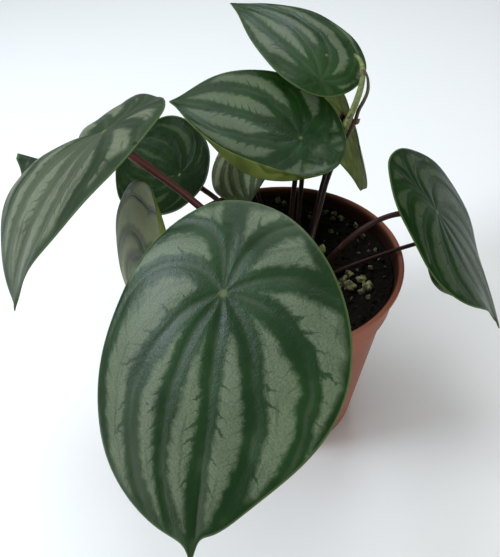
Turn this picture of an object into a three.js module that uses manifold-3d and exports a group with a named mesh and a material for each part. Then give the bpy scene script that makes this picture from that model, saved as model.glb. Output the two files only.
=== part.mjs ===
// A watermelon peperomia growing in a round plastic nursery pot: ten shield-shaped leaves,
// each held at its own point by a red-brown stalk, and a forked flower stalk with two spikes.
// Millimetres, +Z up. The origin is the centre of the pot's underside, and -Y is the front.
import * as THREE from "three";
import { mergeVertices } from "three/addons/utils/BufferGeometryUtils.js";
import Module from "manifold-3d";

const wasm = await Module();
wasm.setup();

// Gap kept between two pieces that touch.
const GAP = 0.3;

// The pot: a tapered wall, a wider collar above a small step, and a thin lip.
const POT = {
  height: 94,
  lipRadius: 52.5,
  lipHeight: 2.2,
  collarRadius: 50.6,
  collarHeight: 16,
  stepRadius: 49.2,
  wallTopRadius: 47.2,
  footRadius: 36,
  footChamfer: 2,
  wall: 1.1,
  lipWidth: 1.6,
  floor: 2.2,
  drainCount: 6,
  drainRadius: 4,
  drainCircle: 24,
  segments: 48,
};

// The soil: filled almost to the lip, highest round the crown and heaped up at the back.
const SOIL = {
  level: 87.5,
  mound: [6, -4, 1.6, 16],
  heap: [-8, 42, 3.2, 22],
  lump: 0.6,
  edgeFade: 6,
  rings: 7,
  segments: 36,
};

// Pale grains of perlite that show on the soil, as [x, y, radius], and smaller dark crumbs.
const GRAINS = [
  [2, 45, 1.8], [5, 43, 1.5], [24, 37, 1.9], [28, 35, 1.7], [31, 32, 1.6], [27, 32, 1.4],
  [37, 26, 1.5], [17, 24, 2.0], [25, 23, 1.3], [39, 18, 1.6], [43, 8, 0.9], [39, -3, 1.1],
  [26, -11, 2.0], [28, -15, 2.3], [29, -7, 1.8], [33, -17, 1.6], [34, -11, 2.0], [36, -15, 2.1],
  [35, -21, 1.1], [24, -14, 1.5], [-20, 33, 1.6], [-33, -12, 1.8], [-14, -34, 1.9], [10, -38, 1.6],
];
const CRUMBS = { count: 8, radius: 1.7, inner: 12, outer: 44, seed: 7 };

// The crown is a short ringed stem, with the stalks standing in a circle round it.
const CROWN = { centre: [4.5, -3.5], radius: 3.1, bottom: 81, top: 94, rings: 5, groove: 0.35 };
const FOOT = { circle: 7.4, bottom: 81, holeGap: 0.35, endGap: 0.5 };

// Leaf stalks: a round section. Each leaf says where its stalk stands round the crown, how far it
// rises, what share of the way it leans out meanwhile, how far it runs square to the blade at its
// end, and its radius where it is thinner or thicker than the rest.
const STALK = { sides: 7, steps: 12, radius: 1.3 };

// Leaf blades: thickness at the stalk and at the margin, and how finely they are divided.
const BLADE = {
  thickness: 1.15,
  marginThickness: 0.75,
  rings: 4,
  sectors: 32,
  ringSpread: 0.75,
  tipNarrowing: 0.92,
};

// Each leaf: where the stalk joins the blade, the way its tip points and how steeply it falls,
// its roll, length and width, the share of its length behind the stalk, the turn of each half,
// of the tip end and of the base end (degrees), how sharply each side draws in at the tip,
// and where round the stalk the margin swells, as [middle, span, share of reach], or lifts, as
// [middle, span, millimetres, power]: a high power keeps the lift to the outermost part.
// Angles round the stalk are in degrees, start at the tip and run anticlockwise from above.
const LEAVES = {
  front: {
    at: [-21.2, -74.9, 146.9], heading: -103.3, fall: 36.7, roll: 7.3,
    length: 105, width: 81.6, base: 0.26, halfTurns: [7.2, 23.2], tipTurn: 7, baseTurn: 8.3,
    keel: -3.6, sharp: [3.5, 7.7], skew: 0.02, belly: -0.05, colour: 0x54694f,
    swells: [[18, 14, -0.07], [-18, 14, -0.05], [50, 25, -0.04], [180, 40, 0.06]], lifts: [],
    stalk: [256, 24, 0.2, 15],
  },
  left: {
    at: [-62.6, -2.8, 159.9], heading: 220.4, fall: 13.9, roll: 18.1,
    length: 99.8, width: 72.5, base: 0.26, halfTurns: [22.6, 17.8], tipTurn: 53.3, baseTurn: 4.6,
    keel: -9.9, sharp: [3.1, 6.1], skew: -0.07, belly: -0.02, colour: 0x6d7d6a,
    swells: [[50, 25, -0.03], [-50, 25, -0.03], [-95, 30, 0.07], [-140, 30, 0.19], [180, 30, -0.09]],
    lifts: [[-95, 5, 15, 7], [-103, 9, -16, 1.1], [-121, 26, -11, 2.5]],
    stalk: [190, 18, 0.4, 8, 1.65], waved: true,
  },
  centre: {
    at: [11.6, 37.2, 129.2], heading: 167.1, fall: -14.6, roll: -14.4,
    length: 80.1, width: 59, base: 0.26, halfTurns: [28, -7], tipTurn: 2.5, baseTurn: 0.5,
    keel: -5.7, sharp: [4.1, 6.5], skew: -0.03, belly: 0.03, colour: 0x48613f,
    swells: [[-50, 25, 0.03], [100, 32, 0.27], [180, 30, -0.03]], lifts: [[96, 36, 22, 8]],
    stalk: [104, 6, 0.12, 3], waved: true,
  },
  top: {
    at: [25.8, 69.8, 151.1], heading: 146.4, fall: -22.3, roll: -7.9,
    length: 72.3, width: 53.5, base: 0.28, halfTurns: [7.3, 9.3], tipTurn: 13.2, baseTurn: 9.5,
    keel: 2.5, sharp: [2.8, 5.2], skew: 0.02, belly: 0.03, colour: 0x49603f,
    swells: [[-18, 14, 0.05], [95, 30, -0.08], [140, 30, 0.07], [180, 30, -0.06]], lifts: [],
    stalk: [76, 0, 0.1, 36],
  },
  right: {
    at: [62.1, -5.2, 118], heading: -23.1, fall: 50.3, roll: -7.3,
    length: 91.3, width: 70.5, base: 0.32, halfTurns: [0.4, 11.1], tipTurn: 11.9, baseTurn: 12.9,
    keel: 0.3, sharp: [6.9, 3.8], skew: 0.05, belly: 0.06, colour: 0x4b6350,
    swells: [[18, 14, 0.12], [50, 25, -0.14], [-50, 25, -0.05], [95, 30, 0.09]],
    lifts: [[-59, 22, 2.2, 2.5]],
    stalk: [-10, 32, 0.58, 8],
  },
  low_right: {
    at: [68.2, -0.2, 100.4], heading: -52, fall: 60, roll: -16,
    length: 39, width: 31, base: 0.28, halfTurns: [8, 8], tipTurn: 12, baseTurn: 6,
    keel: 0, sharp: [6, 6], skew: 0, belly: 0, colour: 0x4f6a48,
    swells: [], lifts: [],
    stalk: [-50, 9, 0.06, 7, 0.95],
  },
  mid_left: {
    at: [-43, 41.5, 110.6], heading: 133.5, fall: 7.6, roll: -38.5,
    length: 65, width: 50.5, base: 0.27, halfTurns: [-15, -18], tipTurn: -8, baseTurn: -9,
    keel: 0, sharp: [7, 6.5], skew: 0, belly: 0, colour: 0x2f4a2f,
    swells: [], lifts: [],
    stalk: [156, 26, 0.22, 9],
  },
  low_left: {
    at: [-51.7, -23.4, 117.7], heading: -118.2, fall: 77.2, roll: 24.6,
    length: 88.5, width: 58, base: 0.34, halfTurns: [4, 12], tipTurn: 23.8, baseTurn: 9.7,
    keel: -1.7, sharp: [6.2, 6.1], skew: 0, belly: 0.01, colour: 0x687361,
    swells: [], lifts: [[124, 47, 8.5, 6]],
    stalk: [221, 24, 0.2, 8, 1.1],
  },
  inner: {
    at: [-15.8, 57.6, 112.8], heading: -88, fall: 9.5, roll: 31.8,
    length: 46, width: 35, base: 0.26, halfTurns: [10.4, 9.4], tipTurn: 15, baseTurn: 4,
    keel: 0, sharp: [6, 6], skew: 0, belly: 0, colour: 0x5c6a55,
    swells: [], lifts: [],
    stalk: [128, 10, 0.12, 8, 1],
  },
  back: {
    at: [38.2, 83.2, 113.6], heading: 20.7, fall: 73.9, roll: -3.2,
    length: 72, width: 52.3, base: 0.27, halfTurns: [15.4, 21.6], tipTurn: 1.7, baseTurn: 4.4,
    keel: 7.6, sharp: [5, 5], skew: 0, belly: 0, colour: 0x6c8350,
    swells: [], lifts: [],
    stalk: [48, 4, 0.12, 4, 1.2],
  },
};

// Small leaves are divided less finely, and those with a waved margin more finely.
const SMALL_LEAF = { length: 66, rings: 3, sectors: 24 };
const WAVED_LEAF = { rings: 5, sectors: 72 };

// The flower stalk rises behind the centre leaf and forks; each branch carries a slender spike.
const FLOWER = {
  foot: 20,
  radius: 1.0,
  steps: 18,
  main: [[13, 4, 92], [19, 21, 102], [24.3, 35.4, 109], [29.4, 42.4, 117.4], [34.2, 47.1, 124.2]],
  node: [37.3, 49, 130.2],
  bract: { length: 4, radius: 1.5, lean: [0.75, 0.1, 0.65] },
  branch: [[24.3, 35.4, 109], [27.3, 41.9, 114.4], [30.4, 45.5, 121.4], [31.9, 46.7, 126.1]],
};
const SPIKES = {
  flower_spike_long: {
    radius: 1.45, colour: 0x87934a,
    path: [
      [32.1, 47, 126.7], [33.1, 47.2, 129.2], [36.9, 50, 137.6], [39.1, 52.6, 143.3],
      [40.1, 55.3, 146.7], [40.6, 59.7, 149.3], [40, 64.3, 151], [38.2, 68.3, 151.8],
    ],
  },
  flower_spike_short: {
    radius: 0.85, colour: 0x6e6f38,
    path: [
      [37.5, 49.5, 130.8], [38.8, 51.1, 133.9], [41.3, 53.6, 137.1], [42.8, 55.1, 140.3],
      [43.1, 56.4, 143.3], [42.9, 58.4, 145.6], [42.3, 61, 147],
    ],
  },
};
const SPIKE = { sides: 8, rings: 26, bead: 0.12, tip: 0.45 };

// A young shoot that has just come up through the soil.
const SHOOT = { foot: [18.6, 7], lean: [1.2, 2.6], bottom: 83, height: 10.5, radius: 2.1, flat: 0.6 };

const TURN = Math.PI / 180;

// Seeded random numbers from 0 to 1.
function random(seed) {
  let state = seed;
  return () => {
    state = (state * 1664525 + 1013904223) % 4294967296;
    return state / 4294967296;
  };
}

// A closed geometry as a solid that can be joined and cut.
function solid(geometry) {
  const bare = geometry.clone();
  bare.deleteAttribute("normal");
  bare.deleteAttribute("uv");
  const merged = mergeVertices(bare, 1e-4);
  const corners = merged.index.array;
  const faces = [];
  for (let i = 0; i < corners.length; i += 3) {
    const [a, b, c] = [corners[i], corners[i + 1], corners[i + 2]];
    if (a !== b && b !== c && c !== a) {
      faces.push(a, b, c);
    }
  }
  return new wasm.Manifold(
    new wasm.Mesh({
      numProp: 3,
      vertProperties: merged.attributes.position.array,
      triVerts: new Uint32Array(faces),
    }),
  );
}

// A joined or cut solid back as a geometry.
function geometryOf(body) {
  const mesh = body.getMesh();
  const geometry = new THREE.BufferGeometry();
  geometry.setAttribute("position", new THREE.BufferAttribute(mesh.vertProperties, 3));
  geometry.setIndex(new THREE.BufferAttribute(mesh.triVerts, 1));
  geometry.computeVertexNormals();
  return geometry;
}

// A profile of [radius, height] turned round the Z axis.
function turned(profile, segments) {
  const points = profile.map(([radius, height]) => new THREE.Vector2(radius, height));
  return new THREE.LatheGeometry(points, segments).rotateX(Math.PI / 2);
}

function curveThrough(points) {
  return new THREE.CatmullRomCurve3(points.map((p) => new THREE.Vector3(...p)));
}

// A round stem of even thickness along a curve.
function stem(curve, radius, steps, sides) {
  const ring = [];
  for (let i = 0; i < sides; i += 1) {
    const angle = (2 * Math.PI * i) / sides;
    ring.push(new THREE.Vector2(radius * Math.cos(angle), radius * Math.sin(angle)));
  }
  const section = new THREE.Shape(ring);
  return new THREE.ExtrudeGeometry(section, { steps, extrudePath: curve, bevelEnabled: false });
}

function named(name, geometry, colour, roughness) {
  const material = new THREE.MeshStandardMaterial({ color: colour, roughness, metalness: 0 });
  const mesh = new THREE.Mesh(geometry, material);
  mesh.name = name;
  return mesh;
}

// Sum of the swells or lifts of a margin at one angle round the stalk, in degrees.
function along(list, angle, reach = 1) {
  return list.reduce((sum, [middle, span, amount, power = 1]) => {
    const off = ((((angle - middle + 180) % 360) + 360) % 360) - 180;
    return sum + amount * reach ** power * Math.exp(-((off / span) ** 2));
  }, 0);
}

// A flat length bent through `degrees` over `span`: how far it reaches and how far it rises.
function bent(length, degrees, span) {
  const bend = (Math.abs(degrees) < 0.01 ? 0.01 : degrees) * TURN / span;
  return { reach: Math.sin(bend * length) / bend, rise: (Math.cos(bend * length) - 1) / bend };
}

// The blade's own axes: toward the tip, to the left of it, and up out of the upper face.
function leafAxes(leaf) {
  const [heading, fall, roll] = [leaf.heading * TURN, leaf.fall * TURN, leaf.roll * TURN];
  const tip = new THREE.Vector3(
    Math.cos(heading) * Math.cos(fall),
    Math.sin(heading) * Math.cos(fall),
    -Math.sin(fall),
  );
  const level = new THREE.Vector3(-Math.sin(heading), Math.cos(heading), 0);
  const out = new THREE.Vector3().crossVectors(tip, level);
  const left = level.clone().multiplyScalar(Math.cos(roll)).addScaledVector(out, Math.sin(roll));
  const up = out.multiplyScalar(Math.cos(roll)).addScaledVector(level, -Math.sin(roll));
  return { tip, left, up };
}

// A point of the blade's middle surface, from the stalk (reach 0) to the margin (reach 1).
function leafPoint(leaf, reach, turn) {
  const forward = (1 + Math.cos(turn)) / 2;
  const sideways = Math.sin(turn);
  const half = leaf.width / 2;
  const first = sideways > 0;
  const sharp = leaf.sharp[first ? 0 : 1];
  const skew = first ? 1 + leaf.skew : 1 - leaf.skew;
  const belly = 1 - leaf.belly * Math.cos(turn);
  const narrowing = 1 - BLADE.tipNarrowing * forward ** sharp;
  const degrees = turn / TURN;
  const scale = reach * (1 + along(leaf.swells, degrees));
  const lengthways = (forward - leaf.base) * leaf.length * scale;
  const across = half * skew * sideways * narrowing * belly * scale;

  const side = bent(across, leaf.halfTurns[first ? 0 : 1], half);
  const keel = Math.tan(leaf.keel * TURN) * (Math.sqrt(across ** 2 + 9) - 3);
  const rise = side.rise - keel + along(leaf.lifts, degrees, reach);

  const tipEnd = lengthways > 0;
  const span = leaf.length * (tipEnd ? 1 - leaf.base : leaf.base);
  const endTurn = tipEnd ? leaf.tipTurn : leaf.baseTurn;
  const spine = bent(lengthways, endTurn, span);
  const lean = (endTurn * TURN * lengthways) / span;

  const { tip, left, up } = leafAxes(leaf);
  return new THREE.Vector3(...leaf.at)
    .addScaledVector(tip, spine.reach + rise * Math.sin(lean))
    .addScaledVector(left, side.reach)
    .addScaledVector(up, spine.rise + rise * Math.cos(lean));
}

// The way the upper face looks at one place of the blade.
function leafNormal(leaf, reach, turn) {
  const small = 0.01;
  const outer = Math.min(1, reach + small);
  const outward = leafPoint(leaf, outer, turn).sub(leafPoint(leaf, outer - 2 * small, turn));
  const round = leafPoint(leaf, reach, turn + small).sub(leafPoint(leaf, reach, turn - small));
  return outward.cross(round).normalize();
}

// A blade: two faces divided alike, a little thinner at the margin, closed by a rim.
function blade(leaf) {
  const plain = leaf.length < SMALL_LEAF.length ? SMALL_LEAF : BLADE;
  const { rings, sectors } = leaf.waved ? WAVED_LEAF : plain;
  const upper = [];
  const lower = [];
  const place = (point, normal, thickness) => {
    upper.push(...point.clone().addScaledVector(normal, thickness / 2));
    lower.push(...point.clone().addScaledVector(normal, -thickness / 2));
  };
  place(new THREE.Vector3(...leaf.at), leafAxes(leaf).up, BLADE.thickness);
  for (let ring = 1; ring <= rings; ring += 1) {
    const reach = (ring / rings) ** BLADE.ringSpread;
    const thickness = THREE.MathUtils.lerp(BLADE.thickness, BLADE.marginThickness, reach ** 2);
    for (let i = 0; i < sectors; i += 1) {
      const turn = (2 * Math.PI * i) / sectors;
      place(leafPoint(leaf, reach, turn), leafNormal(leaf, reach, turn), thickness);
    }
  }
  const faces = [];
  const under = 1 + rings * sectors;
  const both = (a, b, c) => faces.push(a, b, c, under + a, under + c, under + b);
  const at = (ring, i) => 1 + (ring - 1) * sectors + (i % sectors);
  for (let i = 0; i < sectors; i += 1) {
    both(0, at(1, i), at(1, i + 1));
    for (let ring = 1; ring < rings; ring += 1) {
      both(at(ring, i), at(ring + 1, i), at(ring + 1, i + 1));
      both(at(ring, i), at(ring + 1, i + 1), at(ring, i + 1));
    }
    const [rim, next] = [at(rings, i), at(rings, i + 1)];
    faces.push(rim, under + rim, under + next, rim, under + next, next);
  }
  const geometry = new THREE.BufferGeometry();
  geometry.setAttribute("position", new THREE.Float32BufferAttribute([...upper, ...lower], 3));
  geometry.setIndex(faces);
  geometry.computeVertexNormals();
  return geometry;
}

// Where a stalk stands: its foot in the soil on the circle round the crown.
function footPoint(degrees) {
  const angle = degrees * TURN;
  return new THREE.Vector3(
    CROWN.centre[0] + FOOT.circle * Math.cos(angle),
    CROWN.centre[1] + FOOT.circle * Math.sin(angle),
    FOOT.bottom,
  );
}

// The hole a stem stands in: a shaft along the stem's own curve that runs on a little below it.
function stemHole(curve, radius, steps) {
  const wide = radius + FOOT.holeGap;
  const shaft = stem(curve, wide, steps, STALK.sides);
  const tangent = curve.getTangent(0);
  const turn = new THREE.Quaternion().setFromUnitVectors(new THREE.Vector3(0, 1, 0), tangent);
  const foot = curve.getPoint(0);
  const end = new THREE.CylinderGeometry(wide, wide, 3 * FOOT.endGap, 8)
    .translate(0, FOOT.endGap / 2, 0)
    .applyQuaternion(turn)
    .translate(foot.x, foot.y, foot.z);
  return solid(shaft).add(solid(end));
}

// A leaf stalk's curve: up out of the soil, leaning, then square to the blade's underside.
function stalkCurve(leaf) {
  const [around, height, lean, straight] = leaf.stalk;
  const { up } = leafAxes(leaf);
  const seat = BLADE.thickness / 2 + GAP;
  const end = new THREE.Vector3(...leaf.at).addScaledVector(up, -seat);
  const rise = footPoint(around).lerp(end, lean).add(new THREE.Vector3(0, 0, height));
  const approach = end.clone().addScaledVector(up, -straight);
  return new THREE.CubicBezierCurve3(footPoint(around), rise, approach, end);
}

function flowerCurve() {
  return curveThrough([footPoint(FLOWER.foot), ...FLOWER.main, FLOWER.node]);
}

// A lathe-turned piece, upright from z = 0, carried onto a curve of its own length.
function bentAlong(geometry, curve) {
  const length = curve.getLength();
  const position = geometry.attributes.position;
  const reference = new THREE.Vector3(1, 0, 0);
  for (let i = 0; i < position.count; i += 1) {
    const share = THREE.MathUtils.clamp(position.getZ(i) / length, 0, 1);
    const tangent = curve.getTangentAt(share);
    const first = new THREE.Vector3().crossVectors(tangent, reference).normalize();
    const second = new THREE.Vector3().crossVectors(tangent, first);
    const point = curve.getPointAt(share)
      .addScaledVector(first, position.getX(i))
      .addScaledVector(second, position.getY(i));
    position.setXYZ(i, point.x, point.y, point.z);
  }
  geometry.computeVertexNormals();
  return geometry;
}

// A flower spike: a slender tapering rod whose florets make it beaded.
function spike({ path, radius }) {
  const curve = curveThrough(path);
  const length = curve.getLength();
  const profile = [[0, 0]];
  for (let ring = 0; ring <= SPIKE.rings; ring += 1) {
    const share = ring / SPIKE.rings;
    const taper = 1 - (1 - SPIKE.tip) * share ** 3;
    const bead = ring % 2 === 0 ? 1 - SPIKE.bead : 1 + SPIKE.bead;
    profile.push([radius * taper * bead, length * (0.002 + 0.98 * share)]);
  }
  profile.push([0, length]);
  return bentAlong(turned(profile, SPIKE.sides), curve);
}

function pot() {
  const { height, wall, floor } = POT;
  const stepHeight = height - POT.collarHeight;
  const lipFoot = height - POT.lipHeight;
  const profile = [
    [0, 0],
    [POT.footRadius - POT.footChamfer, 0],
    [POT.footRadius, POT.footChamfer],
    [POT.wallTopRadius, stepHeight - 1],
    [POT.stepRadius, stepHeight + 0.6],
    [POT.collarRadius, lipFoot],
    [POT.lipRadius, lipFoot + 0.3],
    [POT.lipRadius, height - 0.3],
    [POT.lipRadius - 0.3, height],
    [POT.lipRadius - POT.lipWidth, height],
    [POT.collarRadius - wall, lipFoot],
    [POT.stepRadius - wall, stepHeight + 1.2],
    [POT.wallTopRadius - wall, stepHeight - 0.4],
    [POT.footRadius - wall - 0.4, floor + 1.6],
    [POT.footRadius - wall - 2, floor],
    [0, floor],
  ];
  let body = solid(turned(profile, POT.segments));
  for (let i = 0; i < POT.drainCount; i += 1) {
    const angle = (2 * Math.PI * (i + 0.5)) / POT.drainCount;
    const hole = new THREE.CylinderGeometry(POT.drainRadius, POT.drainRadius, 3 * floor, 12)
      .rotateX(Math.PI / 2)
      .translate(POT.drainCircle * Math.cos(angle), POT.drainCircle * Math.sin(angle), 0);
    body = body.subtract(solid(hole));
  }
  return geometryOf(body);
}

// Height of the soil's surface: a low mound with uneven lumps that die out at the wall.
function soilHeight(x, y, edge) {
  const rise = [SOIL.mound, SOIL.heap].reduce((sum, [atX, atY, height, width]) => {
    const away = Math.hypot(x - atX, y - atY) / width;
    return sum + height * Math.exp(-(away ** 2));
  }, 0);
  const lumps = Math.sin(0.31 * x + 1.1) * Math.sin(0.27 * y + 0.4)
    + 0.6 * Math.sin(0.53 * x - 0.35 * y);
  const fade = THREE.MathUtils.clamp((edge - Math.hypot(x, y)) / SOIL.edgeFade, 0, 1);
  return SOIL.level + rise + SOIL.lump * lumps * fade;
}

// One irregular grain, partly sunk in the soil.
function grain(x, y, radius, edge, draw) {
  const shape = new THREE.IcosahedronGeometry(radius, 0)
    .scale(1, 0.7 + 0.4 * draw(), 0.65 + 0.3 * draw())
    .rotateX(6 * draw())
    .rotateZ(6 * draw())
    .translate(x, y, soilHeight(x, y, edge) + 0.25 * radius);
  return solid(shape);
}

// The soil: a plug a little smaller than the pot, with grains on it and holes for the stems.
function soil(holes) {
  const inside = POT.wall + GAP;
  const stepHeight = POT.height - POT.collarHeight;
  const slope = (POT.collarRadius - POT.stepRadius) / (POT.collarHeight - POT.lipHeight);
  const edge = POT.stepRadius - inside + slope * (SOIL.level - stepHeight - 0.6);
  const profile = [
    [0, POT.floor + GAP],
    [POT.footRadius - inside - 2.2, POT.floor + GAP],
    [POT.footRadius - inside - 0.5, POT.floor + GAP + 1.8],
    [POT.wallTopRadius - inside - 0.05, stepHeight - 0.4],
    [POT.stepRadius - inside - 0.05, stepHeight + 1.4],
    [edge, SOIL.level],
  ];
  for (let ring = SOIL.rings - 1; ring >= 0; ring -= 1) {
    profile.push([(edge * ring) / SOIL.rings, SOIL.level]);
  }
  const plug = turned(profile, SOIL.segments);
  const position = plug.attributes.position;
  for (let i = 0; i < position.count; i += 1) {
    const [x, y] = [position.getX(i), position.getY(i)];
    if (position.getZ(i) > SOIL.level - 0.01) {
      position.setZ(i, soilHeight(x, y, edge));
    }
  }
  const draw = random(CRUMBS.seed);
  const pieces = GRAINS.map(([x, y, radius]) => grain(x, y, radius, edge, draw));
  for (let i = 0; i < CRUMBS.count; i += 1) {
    const angle = 2 * Math.PI * draw();
    const radius = CRUMBS.inner + (CRUMBS.outer - CRUMBS.inner) * Math.sqrt(draw());
    const size = CRUMBS.radius * (0.6 + 0.6 * draw());
    pieces.push(grain(radius * Math.cos(angle), radius * Math.sin(angle), size, edge, draw));
  }
  let body = solid(plug);
  for (const piece of pieces) {
    body = body.add(piece);
  }
  for (const hole of holes) {
    body = body.subtract(hole);
  }
  return geometryOf(body);
}

// The crown's outline, or that of its hole in the soil when it is widened.
function crown(widened = 0) {
  const { radius, bottom, top, rings, groove } = CROWN;
  const profile = [[0, bottom - widened]];
  for (let ring = 0; ring <= 2 * rings; ring += 1) {
    const share = ring / (2 * rings);
    const notch = ring % 2 === 0 && widened === 0 ? groove : 0;
    const dome = 1 - 0.35 * share ** 3;
    const height = bottom - widened * (1 - share) + share * (top - 1.2 - bottom);
    profile.push([(radius + widened) * dome - notch, height]);
  }
  profile.push([0, top]);
  return turned(profile, 14).translate(...CROWN.centre, 0);
}

// The young shoot, or its hole in the soil when it is widened.
function shoot(widened = 0) {
  const { radius, height, foot, lean, bottom, flat } = SHOOT;
  const start = new THREE.Vector3(...foot, bottom - widened);
  const end = new THREE.Vector3(foot[0] + lean[0], foot[1] + lean[1], bottom + height - 1.5);
  const middle = new THREE.Vector3(...foot, bottom + height * 0.6);
  const curve = new THREE.QuadraticBezierCurve3(start, middle, end);
  const profile = [[0, 0], [0.45, 0.02], [0.5, 0.35], [1, 0.62], [0.75, 0.82], [0, 1]];
  const outline = profile.map(([r, z]) => [r && r * radius + widened, z * curve.getLength()]);
  return bentAlong(turned(outline, 8).scale(1, flat, 1), curve);
}

// The flower stalk: its main stem and side branch, with a small bract at the upper joint.
function flowerStalk() {
  const { radius, steps, bract, node } = FLOWER;
  const main = solid(stem(flowerCurve(), radius, steps, STALK.sides));
  const branch = solid(stem(curveThrough(FLOWER.branch), radius * 0.8, 8, STALK.sides));
  const lean = new THREE.Vector3(...bract.lean).normalize();
  const scale = new THREE.ConeGeometry(bract.radius, bract.length, 6)
    .translate(0, bract.length / 2 - 1, 0)
    .applyQuaternion(new THREE.Quaternion().setFromUnitVectors(new THREE.Vector3(0, 1, 0), lean))
    .translate(node[0] - 0.6, node[1] - 0.9, node[2] - 1.6);
  return geometryOf(main.add(branch).add(solid(scale)));
}

function buildPlant() {
  const plant = new THREE.Group();
  const holes = [];
  for (const [name, leaf] of Object.entries(LEAVES)) {
    const [, , , , radius = STALK.radius] = leaf.stalk;
    const stalk = stem(stalkCurve(leaf), radius, STALK.steps, STALK.sides);
    plant.add(named(`petiole_${name}`, stalk, 0x4a2a24, 0.5));
    plant.add(named(`blade_${name}`, blade(leaf), leaf.colour, 0.42));
    holes.push(stemHole(stalkCurve(leaf), radius, STALK.steps));
  }
  plant.add(named("flower_stalk", flowerStalk(), 0x5a3324, 0.55));
  holes.push(stemHole(flowerCurve(), FLOWER.radius, FLOWER.steps));
  for (const [name, shape] of Object.entries(SPIKES)) {
    plant.add(named(name, spike(shape), shape.colour, 0.6));
  }
  plant.add(named("crown", crown(), 0x4f4230, 0.75));
  holes.push(solid(crown(FOOT.holeGap)));
  plant.add(named("young_shoot", shoot(), 0x8a9540, 0.5));
  holes.push(solid(shoot(FOOT.holeGap)));
  plant.add(named("soil", soil(holes), 0x1d1815, 0.95));
  plant.add(named("pot", pot(), 0x84493a, 0.45));
  return plant;
}

export default buildPlant();
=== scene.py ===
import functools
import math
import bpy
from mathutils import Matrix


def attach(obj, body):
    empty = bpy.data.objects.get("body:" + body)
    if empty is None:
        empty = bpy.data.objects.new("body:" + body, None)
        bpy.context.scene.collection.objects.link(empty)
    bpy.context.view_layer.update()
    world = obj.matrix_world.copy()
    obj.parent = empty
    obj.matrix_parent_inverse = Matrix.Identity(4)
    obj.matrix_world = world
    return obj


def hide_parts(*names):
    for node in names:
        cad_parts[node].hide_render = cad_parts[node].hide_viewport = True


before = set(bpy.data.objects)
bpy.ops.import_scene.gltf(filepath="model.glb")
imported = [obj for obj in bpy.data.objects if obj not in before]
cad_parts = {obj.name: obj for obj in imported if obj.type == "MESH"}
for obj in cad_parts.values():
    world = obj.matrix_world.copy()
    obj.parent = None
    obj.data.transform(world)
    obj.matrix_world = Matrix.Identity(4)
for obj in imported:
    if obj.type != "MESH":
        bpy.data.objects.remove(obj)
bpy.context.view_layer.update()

# A potted watermelon peperomia: silver-striped shield leaves on red-brown stalks, a forked
# flower stalk, dark soil with perlite, and a terracotta-brown nursery pot.
# Measures are in millimetres in the row frame, and become metres where a mesh is made.
# Colours are in linear light.
from types import SimpleNamespace as Settings

import bmesh
import bpy
import numpy as np
from mathutils import Matrix, Vector, noise

MM = 0.001
TURN = 2 * math.pi

# The camera's place and target, its roll in degrees, and its focal length in picture elements
# of an image whose longer side is 557.
CAMERA = Settings(
    place=(-13.4, -210.0, 278.9), target=(-13.4, -12.5, 94.0), roll=-2.9,
    focal=650.0, longer_side=557.0, sensor=36.0,
)

# Round softboxes: place, target, diameter, watts, and colour.
LIGHTS = {
    "overhead": ((-150, 180, 1000), (0, 0, 60), 700, 5.0, (0.95, 0.98, 1.0)),
    "window": ((-800, -110, 740), (-20, -60, 120), 440, 7.5, (0.8, 0.9, 1.0)),
    "back_window": ((190, 640, 800), (0, 60, 130), 260, 1.5, (0.8, 0.9, 1.0)),
    "right_fill": ((720, -560, 170), (20, 0, 50), 420, 4.0, (1.0, 0.97, 0.93)),
    "left_fill": ((-900, -500, 300), (0, 0, 60), 500, 2.0, (1.0, 0.98, 0.95)),
}
WORLD = Settings(colour=(0.95, 0.98, 1.0), strength=0.25)
FLOOR = Settings(reach=3000.0, colour=(0.86, 0.86, 0.85), roughness=0.9)

POT = Settings(
    # Radius and height round its profile: under the foot, up the wall, the step, the collar and
    # the lip, and down again inside.
    profile=(
        (0, 0), (34, 0), (36, 2), (47.2, 77), (49.2, 78.6), (50.6, 91.8), (52.5, 92.1), (52.5, 93.7),
        (52.2, 94), (50.9, 94), (49.5, 91.8), (48.1, 79.2), (46.1, 77.6), (34.5, 3.8), (32.9, 2.2),
        (0, 2.2),
    ),
    rounding=0.6, rounding_steps=4, segments=128,
    drains=6, drain_radius=4.0, drain_circle=24.0, drain_segments=32,
    # The middle of the collar's wall, at its foot and at its top, as (radius, height).
    collar=((48.65, 78.6), (50.05, 91.8)),
)

# The soil's level, its rises as (x, y, height, width), its lumps, the circle it ends on, where
# they fade toward that, and the side of the plug below as (radius, height).
SOIL = Settings(
    level=87.5, rises=((6, -4, 1.6, 16), (-8, 42, 3.2, 22)), lumps=0.6,
    edge=48.6, fade=6.0, side=((47.5, 79.5), (45.6, 77.5), (34.2, 4.5), (32.5, 2.6)),
    sectors=300, rings=96,
)
# Crumbs of the soil's surface, from coarse to fine: their size, their layer of the noise, and
# their height; and how far they lie below the level on the whole.
CRUMBS = ((2.6, 3.1, 1.0), (1.1, 8.4, 0.75), (0.55, 1.7, 0.35))
CRUMB_DEPTH = 0.3

# Larger perlite grains as (x, y, radius).
GRAINS = (
    (2, 45, 1.8), (5, 43, 1.5), (24, 37, 1.9), (28, 35, 1.7), (31, 32, 1.6), (27, 32, 1.4),
    (37, 26, 1.5), (17, 24, 2.0), (25, 23, 1.3), (39, 18, 1.6), (43, 8, 0.9), (39, -3, 1.1),
    (26, -11, 2.0), (28, -15, 2.3), (29, -7, 1.8), (33, -17, 1.6), (34, -11, 2.0), (36, -15, 2.1),
    (35, -21, 1.1), (24, -14, 1.5), (-20, 33, 1.6), (-33, -12, 1.8), (-14, -34, 1.9), (10, -38, 1.6),
)
GRAIN = {"roughness": 0.75, "stretch": (0.6, 1.1), "detail": 3}
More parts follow.
